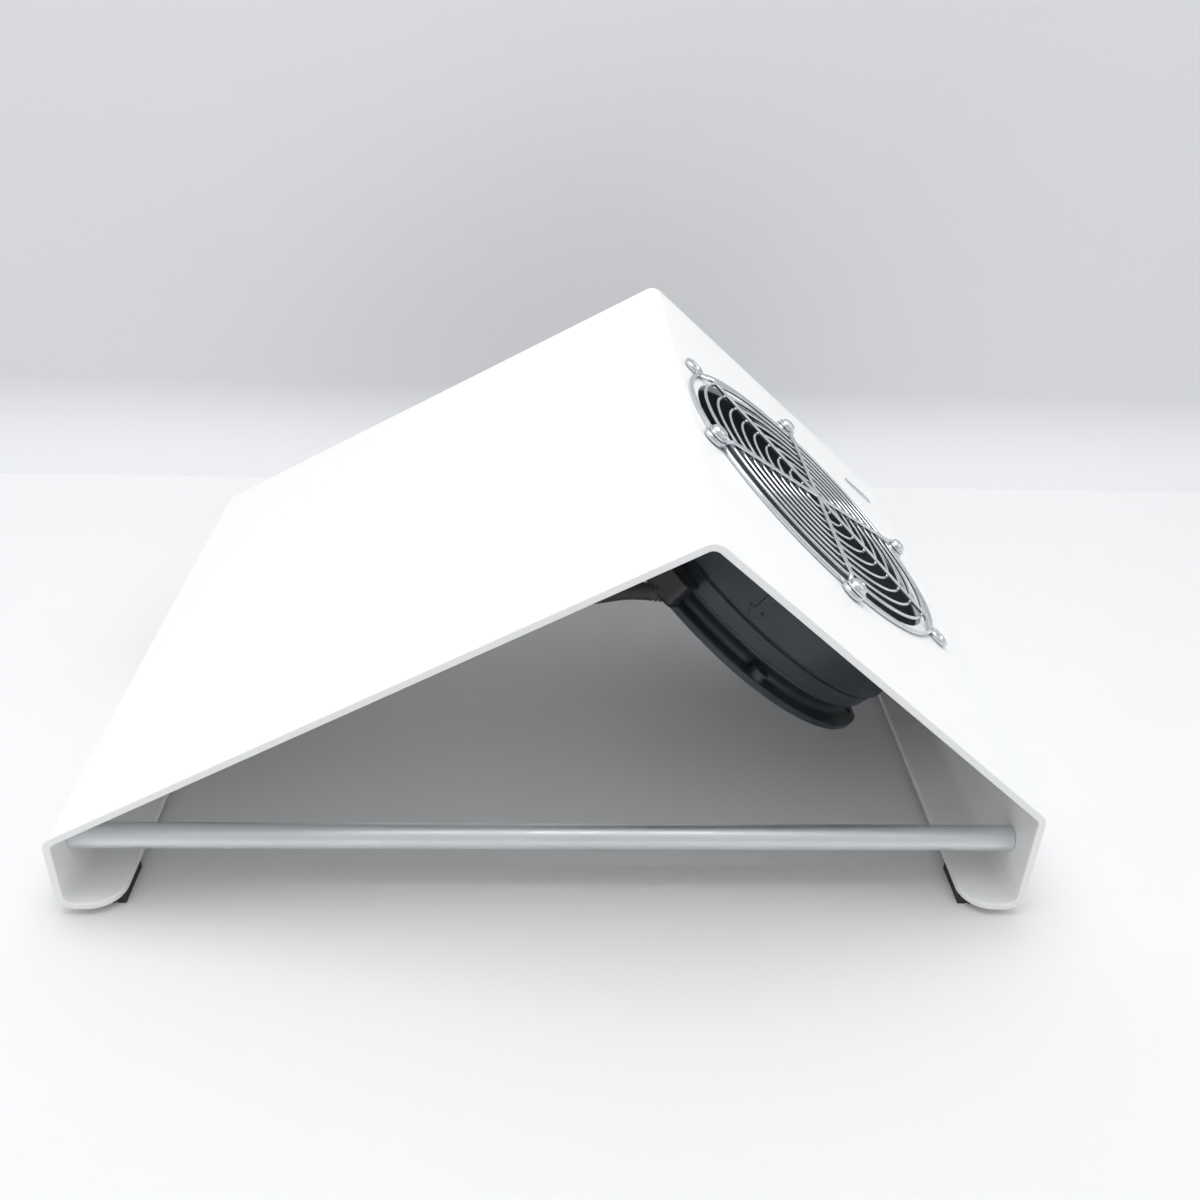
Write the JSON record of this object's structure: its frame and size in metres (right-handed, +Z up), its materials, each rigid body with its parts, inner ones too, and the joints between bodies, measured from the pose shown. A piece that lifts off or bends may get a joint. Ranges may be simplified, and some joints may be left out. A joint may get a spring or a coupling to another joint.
{
  "type": "nail dust collector",
  "caption": "Tent-shaped hand rest of bent white sheet with an axial fan and wire finger guard in its short slope, on rubber feet.",
  "frame": {"origin": "on the table, under the middle of the body's width and depth", "axes": "+Z up, +X from the long slope to the short slope that holds the fan, +Y away from the front edge along the ridge"},
  "size_m": [0.3761, 0.285, 0.1631],
  "materials": {
    "white_coating": "satin white powder coat",
    "foot_rubber": "matt black rubber",
    "satin_rod": "satin anodised",
    "bright_steel": "bright zinc plating",
    "guard_wire": "bright nickel plating",
    "badge_metal": "fine satin",
    "fan_paint": "semi-gloss black paint",
    "impeller_plastic": "moulded black plastic",
    "black_plastic": "moulded black plastic",
    "white_plastic": "moulded white nylon",
    "black_cable": "soft black vinyl",
    "wire_sleeve": "brown vinyl sleeve",
    "bearing_steel": "ground steel",
    "lamination_steel": "stacked grey laminations",
    "copper_enamel": "varnished copper winding",
    "terminal_brass": "plain brass",
    "label_foil": "blank foil label"
  },
  "bodies": {
    "base": {"body_shell": "white_coating", "foot_front_left": "foot_rubber", "foot_rear_left": "foot_rubber", "foot_front_right": "foot_rubber", "foot_rear_right": "foot_rubber", "front_rod": "satin_rod", "rear_rod": "satin_rod", "rod_screws": "bright_steel", "badge": "badge_metal", "finger_guard": "guard_wire", "guard_screws": "bright_steel", "guard_washers": "bright_steel", "fan_housing": "fan_paint", "airflow_arrow": "fan_paint", "bearing_cap": "black_plastic", "front_bearing": "bearing_steel", "rear_bearing": "bearing_steel", "stator_core": "lamination_steel", "stator_windings": "copper_enamel", "stator_wires": "wire_sleeve", "motor_label": "label_foil", "terminal_block": "black_plastic", "terminal_tabs": "terminal_brass", "fan_plug": "black_plastic", "fan_lead": "black_cable", "cable_clips": "white_plastic", "power_inlet": "black_plastic", "inlet_pins": "terminal_brass", "inlet_screws": "bright_steel", "inlet_nuts": "bright_steel", "inlet_boot": "black_cable", "switch_housing": "black_plastic", "switch_tabs": "terminal_brass", "switch_wires": "wire_sleeve"},
    "rotor": {"impeller_hub": "impeller_plastic", "fan_blades": "impeller_plastic", "rotor_cup": "fan_paint", "rotor_cage": "lamination_steel", "rotor_shaft": "bearing_steel", "shaft_clip": "lamination_steel"},
    "rocker": {"switch_rocker": "black_plastic"}
  },
  "joints": [
    {"name": "fan_spin", "type": "hinge", "parent": "base", "child": "rotor", "pos_m": [0.09838, 0, 0.08979], "axis": [0.6557, 0, 0.755], "continuous": true},
    {"name": "switch_rock", "type": "hinge", "parent": "base", "child": "rocker", "pos_m": [-0.184, 0.088, 0.021], "axis": [0, 0, 1], "range_deg": [0, 20]}
  ]
}
